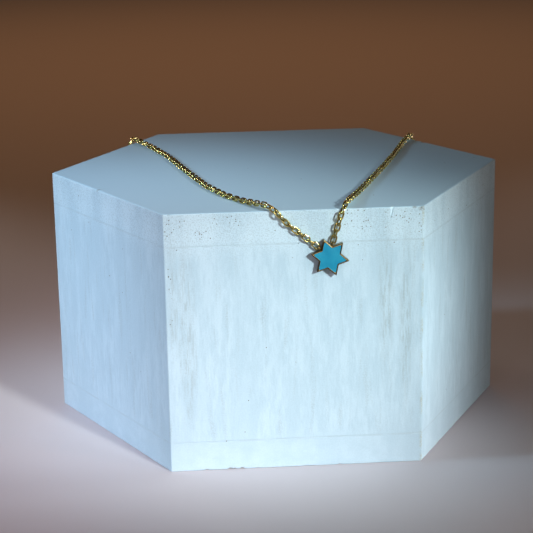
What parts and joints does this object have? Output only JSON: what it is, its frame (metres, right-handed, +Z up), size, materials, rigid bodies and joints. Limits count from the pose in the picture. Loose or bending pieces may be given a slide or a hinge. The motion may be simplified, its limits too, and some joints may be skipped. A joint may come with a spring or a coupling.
{
  "type": "star pendant necklace on hexagonal display block",
  "caption": "Small enamelled six-pointed star soldered between the ends of a fine cable chain, draped over a white painted hexagonal wooden display block.",
  "frame": {"origin": "centre of the flat underside of the hexagonal block", "axes": "+Z up, -Y out of the face that the star hangs against, +X to the right as seen from the front"},
  "size_m": [0.102, 0.1195, 0.0575],
  "materials": {
    "painted_wood": "chalky white brush paint with worn spots",
    "gold_plate": "polished gold plate",
    "chain_gold": "polished gold plate with small cut flats",
    "enamel": "glossy opaque turquoise enamel"
  },
  "bodies": {
    "block_and_chain": {"base_board": "painted_wood", "panel_front": "painted_wood", "panel_front_right": "painted_wood", "panel_back_right": "painted_wood", "panel_back": "painted_wood", "panel_back_left": "painted_wood", "panel_front_left": "painted_wood", "top_board": "painted_wood", "chain_left": "chain_gold", "chain_right": "chain_gold", "chain_tail_left": "chain_gold", "chain_tail_right": "chain_gold", "clasp": "gold_plate", "end_ring": "gold_plate"},
    "star": {"star_frame": "gold_plate", "star_enamel": "enamel"}
  },
  "joints": [
    {"name": "star_swing", "type": "hinge", "parent": "block_and_chain", "child": "star", "pos_m": [0.00635, -0.04525, 0.04814], "axis": [-0.95, 0, -0.3123], "range_deg": [0, 9]}
  ]
}
